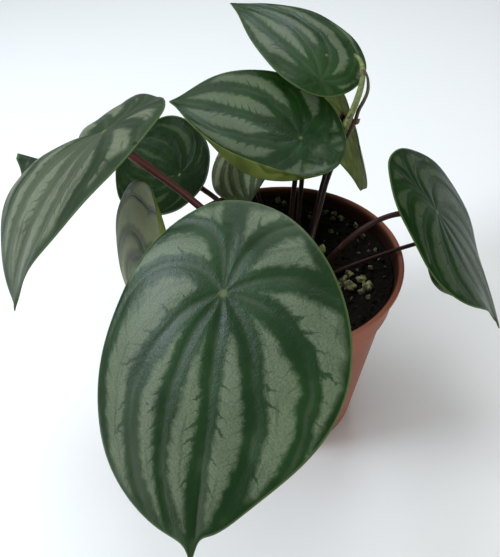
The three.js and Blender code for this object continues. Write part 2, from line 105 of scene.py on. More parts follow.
# What else lies on the soil: how many, their radii, how finely each is divided, how rough and
# how unequal its three sides are, and how far from the crown it stays.
BITS = {
    "perlite_grains": (46, (0.35, 0.8), 2, 0.4, (0.6, 1.1), 9),
    "peat_crumbs": (260, (0.5, 1.3), 2, 0.5, (0.6, 1.1), 9),
    "bark_slivers": (60, (0.4, 0.7), 1, 0.3, (0.3, 2.6), 4),
}
BITS_CIRCLE = 46.5

# The short stem in the middle, and the circle on which the stalks start.
CROWN = Settings(
    centre=(4.5, -3.5), radius=3.1, bottom=81.0, middle=86.0, top=94.0, foot_circle=7.4,
    rings=5, ring_depth=0.35, roughness=0.25, steps=60, sides=32,
)

# How thick a blade is, in its middle and at its margin, and how much it narrows to its tip.
BLADE = Settings(thickness=1.15, margin_thickness=0.75, tip_narrowing=0.92)

# Leaves, as in the part's source: where the stalk joins the blade, heading, fall and roll in
# degrees, length, width, share of the length behind the stalk, turn of each half, of the tip
# end and of the base end, keel, how sharply each side narrows, skew, belly, stalk (place round
# the crown, rise, lean, straight run, radius), and where the margin swells or lifts. A swell or
# a lift is [angle round the stalk, span, amount], and a lift's last number is how steeply it
# rises toward the margin. What a leaf doesn't say is as in EVEN_LEAF.
EVEN_LEAF = dict(keel=0, skew=0, belly=0, swells=[], lifts=[])
LEAVES = {
    "front": dict(
        at=[-21.2, -74.9, 146.9], heading=-103.3, fall=36.7, roll=7.3,
        length=105, width=81.6, base=0.26, half_turns=[7.2, 23.2],
        tip_turn=7, base_turn=8.3, keel=-3.6, sharp=[3.5, 7.7],
        skew=0.02, belly=-0.05,
        swells=[[18, 14, -0.07], [-18, 14, -0.05], [50, 25, -0.04], [180, 40, 0.06]],
        stalk=[256, 24, 0.2, 15, 1.3],
    ),
    "left": dict(
        at=[-62.6, -2.8, 159.9], heading=220.4, fall=13.9, roll=18.1,
        length=99.8, width=72.5, base=0.26, half_turns=[22.6, 17.8],
        tip_turn=53.3, base_turn=4.6, keel=-9.9, sharp=[3.1, 6.1],
        skew=-0.07, belly=-0.02,
        swells=[[50, 25, -0.03], [-50, 25, -0.03], [-95, 30, 0.07], [-140, 30, 0.19], [180, 30, -0.09]],
        lifts=[[-95, 5, 15, 7], [-103, 9, -16, 1.1], [-121, 26, -11, 2.5]],
        stalk=[190, 18, 0.4, 8, 1.65],
    ),
    "centre": dict(
        at=[11.6, 37.2, 129.2], heading=167.1, fall=-14.6, roll=-14.4,
        length=80.1, width=59, base=0.26, half_turns=[28, -7],
        tip_turn=2.5, base_turn=0.5, keel=-5.7, sharp=[4.1, 6.5],
        skew=-0.03, belly=0.03,
        swells=[[-50, 25, 0.03], [100, 32, 0.27], [180, 30, -0.03]],
        lifts=[[96, 36, 22, 8]],
        stalk=[104, 6, 0.12, 3, 1.3],
    ),
    "top": dict(
        at=[25.8, 69.8, 151.1], heading=146.4, fall=-22.3, roll=-7.9,
        length=72.3, width=53.5, base=0.28, half_turns=[7.3, 9.3],
        tip_turn=13.2, base_turn=9.5, keel=2.5, sharp=[2.8, 5.2],
        skew=0.02, belly=0.03,
        swells=[[-18, 14, 0.05], [95, 30, -0.08], [140, 30, 0.07], [180, 30, -0.06]],
        stalk=[76, 0, 0.1, 36, 1.3],
    ),
    "right": dict(
        at=[62.1, -5.2, 118], heading=-23.1, fall=50.3, roll=-7.3,
        length=91.3, width=70.5, base=0.32, half_turns=[0.4, 11.1],
        tip_turn=11.9, base_turn=12.9, keel=0.3, sharp=[6.9, 3.8],
        skew=0.05, belly=0.06,
        swells=[[18, 14, 0.12], [50, 25, -0.14], [-50, 25, -0.05], [95, 30, 0.09]],
        lifts=[[-59, 22, 2.2, 2.5]],
        stalk=[-10, 32, 0.58, 8, 1.3],
    ),
    "low_right": dict(
        at=[68.2, -0.2, 100.4], heading=-52, fall=60, roll=-16,
        length=39, width=31, base=0.28, half_turns=[8, 8],
        tip_turn=12, base_turn=6, sharp=[6, 6],
        stalk=[-50, 9, 0.06, 7, 0.95],
    ),
    "mid_left": dict(
        at=[-43, 41.5, 110.6], heading=133.5, fall=7.6, roll=-38.5,
        length=65, width=50.5, base=0.27, half_turns=[-15, -18],
        tip_turn=-8, base_turn=-9, sharp=[7, 6.5],
        stalk=[156, 26, 0.22, 9, 1.3],
    ),
    "low_left": dict(
        at=[-51.7, -23.4, 117.7], heading=-118.2, fall=77.2, roll=24.6,
        length=88.5, width=58, base=0.34, half_turns=[4, 12],
        tip_turn=23.8, base_turn=9.7, keel=-1.7, sharp=[6.2, 6.1], belly=0.01,
        lifts=[[124, 47, 8.5, 6]],
        stalk=[221, 24, 0.2, 8, 1.1],
    ),
    "inner": dict(
        at=[-15.8, 57.6, 112.8], heading=-88, fall=9.5, roll=31.8,
        length=46, width=35, base=0.26, half_turns=[10.4, 9.4],
        tip_turn=15, base_turn=4, sharp=[6, 6],
        stalk=[128, 10, 0.12, 8, 1],
    ),
    "back": dict(
        at=[38.2, 83.2, 113.6], heading=20.7, fall=73.9, roll=-3.2,
        length=72, width=52.3, base=0.27, half_turns=[15.4, 21.6],
        tip_turn=1.7, base_turn=4.4, keel=7.6, sharp=[5, 5],
        stalk=[48, 4, 0.12, 4, 1.2],
    ),
}

# How finely a blade is divided (a small leaf half as finely) and how its rings crowd toward the
# margin; the height and number of the margin's ripples; how far its rounded rim stands out, and
# its thickness there as a share.
FINE = Settings(
    rings=40, sectors=168, small_leaf=50, crowding=0.8, ripple=0.25, ripples=9,
    rim=0.22, rim_thickness=0.55,
)
# A leaf stalk: its divisions, its girth at the foot, its waist, its collar under the blade, and
# how much and how often it wobbles.
STALK = Settings(
    steps=90, sides=20, girth=1.08, waist=0.2, collar=0.5, collar_from=0.955,
    wobble=0.05, wobbles=12, play=0.05,
)

# The main veins on each side of the midrib, as (start, end, middle, span). A vein's angle, in
# degrees, is that of the arc through the stalk and the tip on which it lies: 0 along the
# midrib, 180 straight back. Each vein leaves the stalk on its first angle and bends round to
# its second; where that happens, and over what length, are logarithms of the distance from the
# stalk over that from the tip.
VEINS = (
    (0, 0, 0, 1), (40, 37, 0, 1), (76, 62, -0.4, 0.5), (130, 86, -0.95, 0.4),
    (171, 107, -1.2, 0.25), (179, 150, -1.3, 0.2), (180, 180, 0, 1),
)
FRONT_LEFT_VEINS = (
    (0, 0, 0, 1), (46, 37, -0.5, 0.5), (88, 62, -0.3, 0.5), (120, 108, -0.7, 0.3),
    (160, 133, -1.15, 0.25), (180, 180, 0, 1),
)
FRONT_RIGHT_VEINS = (
    (0, 0, 0, 1), (37, 36, 0, 1), (69, 62, -0.5, 0.5), (137, 85, -1.05, 0.4),
    (172, 112, -1.2, 0.2), (180, 180, 0, 1),
)
LOW_LEFT_VEINS = (
    (0, 0, 0, 1), (40, 37, 0, 1), (76, 62, -0.4, 0.5), (150, 90, -1.4, 0.3),
    (205, 105, -1.2, 0.14), (232, 150, -0.9, 0.1), (240, 240, 0, 1),
)
CENTRE_VEINS = (
    (0, 0, 0, 1), (50, 46, 0, 1), (92, 76, -0.5, 0.4), (142, 104, -1.0, 0.35),
    (174, 130, -1.2, 0.25), (179, 155, -1.3, 0.2), (180, 180, 0, 1),
)

# The dark side veins that run into the silver: how many to a unit of distance along the vein,
# how far they slant toward the tip, how they stray, and half their thickness as a share of the
# space between two of them, for those from the inner and from the outer vein of a gap.
SIDE_VEINS = Settings(count=4.6, slant=0.5, stray=0.2, thick=0.24, outer_thick=0.16)

# A blade's looks, where a leaf doesn't say otherwise. Lengths are shares of the distance from
# stalk to tip, unless they are in millimetres.
PLAIN_LOOK = dict(
    veins=VEINS,
    left_veins=None,     # veins of the half on the leaf's left, if they are others
    centre=(0, 0),       # where the veins meet
    bow=0.0,             # how far the midrib bows sideways
    clear=0.14,          # round the stalk, up to where the silver is held back
    lines=1.0,           # strength of the side veins
    streaks=0.0,         # strength of the dark streaks along the silver
    blotches=0.0,        # scale of the silver patches behind the stalk
    faint=-1.0,          # up to this vein, counted from the midrib, the green is silvery too
    rim=(0.8, 3.2),      # from the margin, in millimetres, where silver starts and is full
    spots=16.0,          # scale of the brown spots
    furrow=0.25,         # depth of the veins, in millimetres
    quilt=0.3,           # height of the swellings between the veins, in millimetres
    gloss=(0.34, 0.42),  # lowest and highest roughness
    shine=0.2,           # strength of the reflection
    # A leaf's under value can stand in for light: on the centre leaf it is raised as painted light.
    under=1.0,           # lightness of the underside
)
# Each leaf's own looks: its colours, how far from a vein the silver starts and is full, and the
# seed of its irregularities.
LOOKS = {
    "front": dict(
        dark=(0.007, 0.025, 0.005), silver=(0.118, 0.153, 0.088), band=(0.026, 0.054),
        seed=1.3, rim=(0.6, 3.4), streaks=0.3, gloss=(0.3, 0.38), shine=0.22,
        quilt=0.24, furrow=0.2, spots=19.0,
        veins=FRONT_RIGHT_VEINS, left_veins=FRONT_LEFT_VEINS,
    ),
    "left": dict(
        dark=(0.022, 0.037, 0.018), silver=(0.16, 0.18, 0.118), band=(0.02, 0.05),
        seed=4.1, rim=(3.0, 7.0), shine=0.1, faint=1.1, streaks=0.55,
    ),
    # The centre leaf's under value lightens its underside as painted light, the light falling on it and
    # shining through it.
    "centre": dict(
        dark=(0.008, 0.028, 0.005), silver=(0.108, 0.146, 0.08), band=(0.03, 0.066),
        seed=7.7, veins=CENTRE_VEINS, bow=-0.065, clear=0.4, quilt=0.13,
        furrow=0.07, blotches=7.0, under=1.9, gloss=(0.24, 0.38), shine=0.15,
    ),
    "top": dict(
        dark=(0.01, 0.031, 0.006), silver=(0.122, 0.153, 0.09), band=(0.028, 0.064),
        seed=11.2, centre=(-0.11, 0.27), clear=0.2, quilt=0.18, furrow=0.12,
        gloss=(0.24, 0.38), shine=0.15,
    ),
    # The right leaf's dark and silver colours are made darker than the other leaves' as painted shade.
    "right": dict(
        dark=(0.005, 0.021, 0.003), silver=(0.046, 0.07, 0.034), band=(0.024, 0.056),
        seed=15.9, gloss=(0.16, 0.26), shine=0.03, quilt=0.2, furrow=0.1,
        rim=(1.5, 4.0),
    ),
    "low_right": dict(
        dark=(0.016, 0.036, 0.01), silver=(0.1, 0.13, 0.075), band=(0.03, 0.05),
        seed=19.4,
    ),
    "mid_left": dict(
        dark=(0.0035, 0.013, 0.0014), silver=(0.028, 0.047, 0.012), band=(0.05, 0.085),
        seed=23.8, gloss=(0.2, 0.28), shine=0.14, clear=0.25, quilt=0.2,
        furrow=0.12,
    ),
    "low_left": dict(
        dark=(0.04, 0.054, 0.022), silver=(0.235, 0.26, 0.125), band=(0.005, 0.085),
        seed=27.5, lines=0.25, veins=LOW_LEFT_VEINS, shine=0.08, quilt=0.12,
    ),
    # The inner leaf's dark and silver colours are made far lighter than the other leaves' as painted light,
    # for the shade it lies in under the centre leaf.
    "inner": dict(
        dark=(0.085, 0.11, 0.055), silver=(0.42, 0.47, 0.29), band=(0.025, 0.06),
        seed=31.1,
    ),
    "back": dict(
        dark=(0.05, 0.068, 0.012), silver=(0.1, 0.13, 0.026), band=(0.01, 0.07),
        seed=36.6, shine=0.08, under=0.78,
    ),
}

# Colours of all other surfaces. A pair is what a surface is mottled with.
COLOURS = Settings(
    leaf_rays=(0.07, 0.11, 0.04), leaf_navel=(0.11, 0.13, 0.05), leaf_edge=(0.07, 0.115, 0.035),
    leaf_spots=(0.02, 0.016, 0.008), under=((0.068, 0.092, 0.018), (0.13, 0.165, 0.042)),
    under_veins=(0.045, 0.065, 0.012), under_navel=(0.08, 0.035, 0.015),
    stalk=((0.017, 0.0066, 0.0042), (0.035, 0.0125, 0.0085)), stalk_red=(0.105, 0.03, 0.024),
    stalk_streaks=(0.1, 0.045, 0.03), spike_foot=(0.035, 0.024, 0.01),
    spike_spots=(0.06, 0.035, 0.015), spike_tip=(0.05, 0.045, 0.02),
    pot=((0.175, 0.057, 0.031), (0.215, 0.073, 0.042)), pot_dust=(0.27, 0.14, 0.1),
    # The pot's inside colour is painted shade, near-black where the wall shades itself.
    pot_inside=(0.022, 0.009, 0.006), peat=((0.0024, 0.002, 0.0015), (0.0065, 0.005, 0.0036)),
    peat_fibre=(0.034, 0.025, 0.015), perlite=((0.032, 0.033, 0.009), (0.22, 0.205, 0.085)),
    perlite_pores=(0.06, 0.05, 0.025),
)
# Surfaces that are only mottled: scale, detail and roughness of the mottling, its two colours,
# how rough the surface is, and the depth in millimetres and strength of its relief. The flower
# stalk turns greener between two heights, in metres.
MOTTLED = {
    "flower_stalk_skin": Settings(
        grain=(70.0, 3, 0.6), colours=((0.038, 0.013, 0.007), (0.07, 0.027, 0.013)),
        roughness=0.45, relief=(0.2, 0.5), upper=(0.12, 0.1, 0.03), heights=(0.122, 0.13),
    ),
    "bark_fibre": Settings(
        grain=(160.0, 3, 0.6), colours=((0.02, 0.013, 0.009), (0.085, 0.05, 0.028)),
        roughness=0.85, relief=(0.3, 0.6),
    ),
    "crown_bark": Settings(
        grain=(180.0, 4, 0.65), colours=((0.05, 0.035, 0.018), (0.14, 0.12, 0.06)),
        roughness=0.75, relief=(0.5, 0.7),
    ),
    "young_leaf": Settings(
        grain=(240.0, 3, 0.6), colours=((0.13, 0.17, 0.035), (0.26, 0.3, 0.08)),
        roughness=0.45, relief=(0.2, 0.5),
    ),
}

# The flower stalk: where it starts, in degrees round the crown, its way up to the joint, its side
# branch, and the small bract at the joint.
FLOWER = Settings(
    foot=20, radius=1.0, steps=120, branch_steps=50,
    main=((13, 4, 92), (19, 21, 102), (24.3, 35.4, 109), (29.4, 42.4, 117.4), (34.2, 47.1, 124.2)),
    node=(37.3, 49, 130.2),
    branch=((24.3, 35.4, 109), (27.3, 41.9, 114.4), (30.4, 45.5, 121.4), (31.9, 46.7, 126.1)),
    bract_foot=(-0.5, -0.8, -1.4), bract_lean=(0.75, 0.1, 0.65), bract_length=3.4, bract_radius=1.1,
)
# Each spike's radius, its green, and the shares of its length over which its brown foot fades.
SPIKES = {
    "flower_spike_long": Settings(
        radius=1.45, green=(0.19, 0.24, 0.06), brown=(-0.1, 0.06),
        path=(
            (32.1, 47, 126.7), (33.1, 47.2, 129.2), (36.9, 50, 137.6), (39.1, 52.6, 143.3),
            (40.1, 55.3, 146.7), (40.6, 59.7, 149.3), (40, 64.3, 151), (38.2, 68.3, 151.8),
        ),
    ),
    "flower_spike_short": Settings(
        radius=0.85, green=(0.11, 0.125, 0.04), brown=(0.25, 0.7),
        path=(
            (37.3, 49.0, 129.9), (38.8, 51.1, 133.9), (41.3, 53.6, 137.1), (42.8, 55.1, 140.3),
            (43.1, 56.4, 143.3), (42.9, 58.4, 145.6), (42.3, 61, 147),
        ),
    ),
}
# A spike's florets stand in rows wound both ways round its core.
FLORETS = Settings(pitch=0.42, windings=(8, 5), core=0.86, height=0.24, steps=260, sides=36)
# The young shoot: how thick it is along its length, as (share, radius), and its crease.
SHOOT = Settings(
    foot=(18.6, 7), lean=(1.2, 2.6), bottom=83, height=10.5, radius=1.995,
    bulge=((0, 0.5), (0.3, 0.5), (0.45, 0.8), (0.65, 1), (0.85, 0.7), (1, 0.05)),
    crease=0.25, steps=40, sides=20,
)


def unit(vectors):
    """Vectors scaled to length 1."""
    return vectors / np.maximum(np.linalg.norm(vectors, axis=-1, keepdims=True), 1e-9)


def linked(name, data):
    """An object of the scene from its mesh, camera or light."""
    thing = bpy.data.objects.new(name, data)
    bpy.context.scene.collection.objects.link(thing)
    return thing


def plain_mesh(name, points, faces):
    """A mesh from points in millimetres."""
    mesh = bpy.data.meshes.new(name)
    mesh.from_pydata((np.asarray(points) * MM).tolist(), [], faces)
    return mesh


def mesh_object(name, points, faces, materials, face_material=None):
    """A piece from points in millimetres, riding on the plant's one body."""
    mesh = plain_mesh(name, points, faces)
    for material in materials:
        mesh.materials.append(material)
    if face_material is not None:
        mesh.polygons.foreach_set("material_index", face_material)
    mesh.polygons.foreach_set("use_smooth", [True] * len(mesh.polygons))
    mesh.update()
    piece = linked(name, mesh)
    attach(piece, "root")
    return piece


def store_vectors(piece, name, values):
    """Keeps one vector per vertex on a piece, for its material to read."""
    layer = piece.data.attributes.new(name, "FLOAT_VECTOR", "POINT")
    layer.data.foreach_set("vector", np.asarray(values, dtype=np.float32).ravel())


class Value:
    """A number that nodes work out. It adds, subtracts and multiplies like a plain number."""

    def __init__(self, nodes, socket):
        self.nodes, self.socket = nodes, socket

    def __add__(self, other):
        return self.nodes.math("ADD", self, other)

    def __sub__(self, other):
        return self.nodes.math("SUBTRACT", self, other)

    def __rsub__(self, other):
        return self.nodes.math("SUBTRACT", other, self)

    def __mul__(self, other):
        return self.nodes.math("MULTIPLY", self, other)


class Nodes:
    """A material under construction. Inputs are values, sockets, colours or plain numbers."""

    def __init__(self, name):
        self.material = bpy.data.materials.new(name)
        self.material.use_nodes = True
        self.tree = self.material.node_tree

    def fill(self, node, inputs):
        """Gives a node its inputs. None leaves an input as it is."""
        for key, value in inputs.items():
            socket = node.inputs[key]
            if isinstance(value, Value):
                value = value.socket
            if isinstance(value, bpy.types.NodeSocket):
                self.tree.links.new(value, socket)
            elif isinstance(value, tuple):
                socket.default_value = (*value, 1)
            elif value is not None:
                socket.default_value = value

    def add(self, kind, inputs=(), **settings):
        node = self.tree.nodes.new(kind)
        for key, value in settings.items():
            setattr(node, key, value)
        self.fill(node, dict(inputs))
        return node

    def math(self, operation, *inputs):
        node = self.add("ShaderNodeMath", enumerate(inputs), operation=operation)
        return Value(self, node.outputs[0])

    def ramp(self, value, low, high, start=0.0, end=1.0):
        """A smooth step from start to end as value goes from low to high."""
        inputs = enumerate((value, low, high, start, end))
        node = self.add("ShaderNodeMapRange", inputs, interpolation_type="SMOOTHSTEP")
        return Value(self, node.outputs[0])

    def mix(self, share, first, second):
        """The second colour laid over the first."""
        node = self.add("ShaderNodeMix", {"Factor": share}, data_type="RGBA")
        sockets = [key for key, socket in enumerate(node.inputs) if socket.type == "RGBA"]
        self.fill(node, dict(zip(sockets, (first, second))))
        return next(socket for socket in node.outputs if socket.type == "RGBA")

    def vector(self, x, y, z):
        return self.add("ShaderNodeCombineXYZ", enumerate((x, y, z))).outputs[0]

    def parts(self, vector):
        node = self.add("ShaderNodeSeparateXYZ", {0: vector})
        return [Value(self, socket) for socket in node.outputs]

    def attribute(self, name):
        return self.add("ShaderNodeAttribute", attribute_name=name).outputs["Vector"]

    def place(self):
        """The point in the row frame, in metres."""
        return self.add("ShaderNodeTexCoord").outputs["Object"]

    def noise(self, vector, scale, detail=2.0, roughness=0.5):
        inputs = {"Vector": vector, "Scale": scale, "Detail": detail, "Roughness": roughness}
        return Value(self, self.add("ShaderNodeTexNoise", inputs).outputs["Fac"])

    def cells(self, vector, scale, feature="F1"):
        node = self.add("ShaderNodeTexVoronoi", {"Vector": vector, "Scale": scale}, feature=feature)
        return Value(self, node.outputs["Distance"])

    def bump(self, height, depth, strength, below=None):
        """A relief, its depth in millimetres, which may lie on another one."""
        inputs = {"Height": height, "Distance": depth * MM, "Strength": strength, "Normal": below}
        return self.add("ShaderNodeBump", inputs).outputs[0]

    def finish(self, colour, roughness, relief=None, shine=None):
        """The finished material. Shine is the strength of its reflection."""
        inputs = {"Base Color": colour, "Roughness": roughness, "Normal": relief}
        inputs["Specular IOR Level"] = shine
        self.fill(self.tree.nodes["Principled BSDF"], inputs)
        return self.material


def vein_pattern(look, u, v):
    """Where a place of the blade lies among the veins: its phase (whole numbers are veins,
    counted from the midrib), how far along them it is, and how far apart they are there."""
    bow = look.bow * np.sin(np.pi * np.clip(u, 0, 1))
    centre = complex(*look.centre)
    place = (u + 1j * (v - bow) - centre) / (1 - centre)
    left_side = place.imag > 0
    place = place.real + 1j * np.abs(place.imag)
    arcs = (place + 1e-4) / (1 - place + 1e-4)
    far = np.log(np.abs(arcs))
    angle = np.angle(arcs, deg=True)
    veins = []
    for right_vein, left_vein in zip(look.veins, look.left_veins or look.veins):
        start, end, middle, span = np.where(left_side[:, None], left_vein, right_vein).T
        veins.append(end + (start - end) / (1 + np.exp((far - middle) / span)))
    phase, apart = np.zeros(len(far)), np.zeros(len(far))
    for inner, outer in zip(veins, veins[1:]):
        outer = np.maximum(outer, inner + 0.5)
        phase += np.clip((angle - inner) / (outer - inner), 0, 1)
        apart = np.where(angle >= inner, np.radians(outer - inner), apart)
    return phase, far, apart * np.abs(place) * np.abs(1 - place)


def vein_values(n, look):
    """Values of a place on a blade, all lengths as shares of the distance from stalk to tip: how
    far it is from the stalk, from the margin (in millimetres) and from the nearest vein, its
    vein phase, the gap to the nearest vein (0 to 0.5) and how far along the veins it is."""
    u, v, edge = n.parts(n.attribute("leaf_place"))
    phase, along_vein, apart = n.parts(n.attribute("leaf_veins"))
    seed = n.math("SIGN", v) * 3.0 + look.seed
    centre = n.math("SQRT", u * u + v * v)
    stray = n.noise(n.vector(u, v, seed), 3.5) - 0.5
    phase = stray * n.ramp(centre, 0.08, 0.4, 0.0, 0.45) + phase
    gap = n.math("PINGPONG", phase, 0.5)
    return Settings(
        flat=n.vector(u, v, look.seed), behind=v * 0.3 - u, seed=seed, centre=centre, edge=edge,
        phase=phase, gap=gap, off=gap * apart, along=along_vein,
    )


def cross_lines(n, steps, thick, low, high):
    """A line in the middle of each step, as thick as given and soft from low to high."""
    off_line = n.math("ABSOLUTE", n.math("FRACT", steps) - 0.5)
    return n.ramp(thick - off_line, low, high)


def side_veins(n, at, ragged):
    """The dark side veins. Those of each gap's inner vein slant toward the tip and thin out, and
    fewer, shorter ones come from its outer vein."""
    count, back = SIDE_VEINS.count, -SIDE_VEINS.slant
    row = n.math("FLOOR", at.phase) * 3.7 + at.seed
    share = n.math("FRACT", at.phase)
    steps = ((ragged - 0.5) * SIDE_VEINS.stray + (share * back + at.along)) * count + row
    chance = n.noise(n.vector(n.math("FLOOR", steps), row, 0.37), 7.3, 0)
    thick = n.ramp(share, 0.15, 0.62, SIDE_VEINS.thick, 0.0) * n.ramp(chance, 0.35, 0.6, 0.25, 1.0)
    inner = cross_lines(n, steps, thick, -0.04, 0.1) * 0.8

    share = 1.0 - share
    thick = n.ramp(share, 0.1, 0.5, SIDE_VEINS.outer_thick, 0.0)
    outer = cross_lines(n, (share * back + at.along) * count + row * 1.7, thick, -0.02, 0.05) * 0.35
    return n.math("MAXIMUM", inner, outer)


def silver_share(n, look, at, patches):
    """How silvery a place is: full between the main veins, less where side veins and streaks
    cross it, and none along the margin."""
    ragged = n.noise(at.flat, 26.0, 4, 0.65)
    grain = n.noise(at.flat, 120.0, 2, 0.7)
    near_stalk = n.ramp(at.centre, 0.4 * look.clear, look.clear, 0.035, 0.0)
    wider = n.ramp(at.along, -1.6, 0.6, 0.012, 0.0) + near_stalk
    silver = n.ramp((ragged - 0.5) * 0.045 + (at.off - wider), *look.band)
    silver = silver * (1.0 - side_veins(n, at, ragged) * look.lines)

    lengthwise = n.vector(at.phase * 7.0, at.along * 1.1, at.seed)
    streaks = n.ramp(n.noise(lengthwise, 1.0, 3, 0.6), 0.54, 0.64, 0.0, look.streaks)
    silver = silver * (1.0 - streaks)
    if look.blotches:
        blotches = ragged * 0.2 + n.cells(at.flat, look.blotches, "DISTANCE_TO_EDGE")
        blotches = n.ramp(blotches, 0.1, 0.34, 0.0, 0.85) * n.ramp(patches, 0.34, 0.56, 0.15, 1.0)
        silver = n.math("MAXIMUM", silver, blotches * n.ramp(at.behind, 0.08, 0.2))
    haze = n.ramp(at.phase, look.faint, look.faint + 0.4, 0.36, 0.0)
    silver = n.math("MAXIMUM", silver, haze)
    uneven_edge = (patches - 0.5) * 12.0 + at.edge
    return silver * n.ramp(uneven_edge, *look.rim) * n.ramp(grain, 0.32, 0.66, 0.62, 1.06)


def leaf_upper(name, look):
    """The upper face: silver bands between dark green veins, a pale navel over the stalk, a pale
    edge and a few brown spots."""
    n = Nodes(f"leaf_upper_{name}")
    at = vein_values(n, look)
    patches = n.noise(at.flat, 4.5, 3, 0.55)
    silver = silver_share(n, look, at, patches)

    dark = n.mix(n.ramp(patches, 0.35, 0.7), look.dark, tuple(1.5 * c for c in look.dark))
    pale = n.mix(n.ramp(patches, 0.3, 0.7), tuple(0.8 * c for c in look.silver), look.silver)
    colour = n.mix(silver, dark, pale)
    grey = tuple(0.5 * d + 0.28 * s for d, s in zip(look.dark, look.silver))
    on_vein = n.ramp(at.off, 0.003, 0.016, 1.0, 0.0) * n.ramp(patches, 0.42, 0.62, 0.0, 0.6)
    colour = n.mix(on_vein, colour, grey)
    rays = n.ramp(at.gap, 0.0, 0.1, 1.0, 0.0) * n.ramp(at.centre, 0.012, 0.05, 0.12, 0.0)
    colour = n.mix(rays, colour, COLOURS.leaf_rays)
    colour = n.mix(n.ramp(at.centre, 0.008, 0.022, 0.8, 0.0), colour, COLOURS.leaf_navel)
    colour = n.mix(n.ramp(at.edge, 0.15, 0.6, 0.75, 0.0), colour, COLOURS.leaf_edge)
    spots = n.ramp(n.noise(at.flat, look.spots), 0.745, 0.765, 0.0, 0.85)
    colour = n.mix(spots, colour, COLOURS.leaf_spots)

    furrow = n.bump(n.ramp(at.off, 0.0, 0.03), look.furrow, 0.5)
    skin = n.bump(n.noise(at.flat, 55.0, 3, 0.65), 0.16, 0.7, furrow)
    roughness = silver * 0.08 + n.ramp(patches, 0.3, 0.7, *look.gloss)
    return n.finish(colour, roughness, skin, look.shine)


def leaf_under(name, look):
    """The underside: pale yellow-green, with the veins a little darker and standing proud."""
    n = Nodes(f"leaf_under_{name}")
    at = vein_values(n, look)
    patches = n.noise(at.flat, 5.0, 3, 0.55)
    # The under value scales the underside's greens; where it is raised, as on the centre leaf, it is
    # painted light.
    greens = (tuple(look.under * c for c in colour) for colour in COLOURS.under)
    colour = n.mix(n.ramp(patches, 0.3, 0.7), *greens)
    colour = n.mix(n.ramp(at.off, 0.004, 0.016, 0.65, 0.0), colour, COLOURS.under_veins)
    colour = n.mix(n.ramp(at.centre, 0.02, 0.12, 0.7, 0.0), colour, COLOURS.under_navel)
    ribs = n.bump(n.ramp(at.off, 0.0, 0.012, 1.0, 0.0), 0.35, 0.6)
    skin = n.bump(n.noise(at.flat, 60.0), 0.08, 0.4, ribs)
    return n.finish(colour, 0.6, skin, shine=0.02)


def stalk_material():
    """Dark red-brown skin with fine lengthwise streaks, redder on the stalks at the left."""
    n = Nodes("stalk_skin")
    place = n.place()
    x = n.parts(place)[0]
    streak = n.noise(place, 260.0, 3, 0.6)
    colour = n.mix(n.ramp(n.noise(place, 45.0), 0.35, 0.65), *COLOURS.stalk)
    colour = n.mix(n.ramp(x, -0.05, -0.015, 0.75, 0.0), colour, COLOURS.stalk_red)
    colour = n.mix(n.ramp(streak, 0.6, 0.72, 0.0, 0.35), colour, COLOURS.stalk_streaks)
    return n.finish(colour, n.ramp(streak, 0.3, 0.7, 0.38, 0.5), n.bump(streak, 0.15, 0.5), shine=0.16)


def spike_material(name, shape):
    """A beaded spike, brown at its foot and yellow-green above, with dark tips on some florets."""
    n = Nodes(f"{name}_skin")
    place = n.place()
    share = n.parts(n.attribute("spike_place"))[0]
    speck = n.noise(place, 900.0, 2, 0.6)
    colour = n.mix(n.ramp(speck, 0.35, 0.7), tuple(0.6 * c for c in shape.green), shape.green)
    colour = n.mix(n.ramp(share, *shape.brown, 0.85, 0.0), colour, COLOURS.spike_foot)
    spots = n.ramp(n.noise(place, 330.0), 0.585, 0.65, 0.0, 0.85)
    colour = n.mix(spots, colour, COLOURS.spike_spots)
    colour = n.mix(n.ramp(share, 0.93, 1.0, 0.0, 0.8), colour, COLOURS.spike_tip)
    return n.finish(colour, 0.55, n.bump(speck, 0.1, 0.6))


def pot_material():
    """Moulded plastic in a dusty terracotta brown with a fine grain, with painted shade darkening the
    inside of the pot.
    """
    n = Nodes("pot_plastic")
    place = n.place()
    x, y, z = n.parts(place)
    broad = n.noise(place, 28.0, 3, 0.55)
    colour = n.mix(n.ramp(broad, 0.35, 0.7), *COLOURS.pot)
    dust = n.ramp(n.noise(place, 120.0, 4, 0.7), 0.56, 0.75) * 0.3
    colour = n.mix(dust, colour, COLOURS.pot_dust)

    # Inside is what lies within the middle of the collar's wall, between the soil and the lip; it is
    # painted near-black there as painted shade.
    (foot_radius, foot), (top_radius, top) = (np.array(POT.collar) * MM).tolist()
    middle = n.ramp(z, foot, top, foot_radius, top_radius) + n.ramp(z, 0.0915, 0.0922, 0.0, 0.0012)
    inside = n.ramp(middle - n.math("SQRT", x * x + y * y), 0.0, 0.0002)
    inside = inside * n.ramp(z, 0.0925, 0.0938, 1.0, 0.0) * n.ramp(z, 0.082, 0.083)
    colour = n.mix(inside * 0.95, colour, COLOURS.pot_inside)
    skin = n.bump(n.noise(place, 650.0, 2, 0.6), 0.06, 0.5, n.bump(broad, 0.3, 0.3))
    return n.finish(colour, n.ramp(broad, 0.3, 0.7, 0.45, 0.55), skin, shine=0.12)


def peat_material():
    """Moist dark peat: near-black with brown fibre and a few wet glints."""
    n = Nodes("soil_peat")
    place = n.place()
    broad = n.noise(place, 110.0, 4, 0.65)
    colour = n.mix(n.ramp(broad, 0.35, 0.7), *COLOURS.peat)
    fibre = n.ramp(n.noise(place, 520.0, 4, 0.75), 0.58, 0.7)
    colour = n.mix(fibre * 0.8, colour, COLOURS.peat_fibre)
    skin = n.bump(n.cells(place, 620.0), 0.5, 0.9, n.bump(broad, 1.2, 0.8))
    return n.finish(colour, n.ramp(broad, 0.3, 0.7, 0.7, 0.95), skin, shine=0.06)


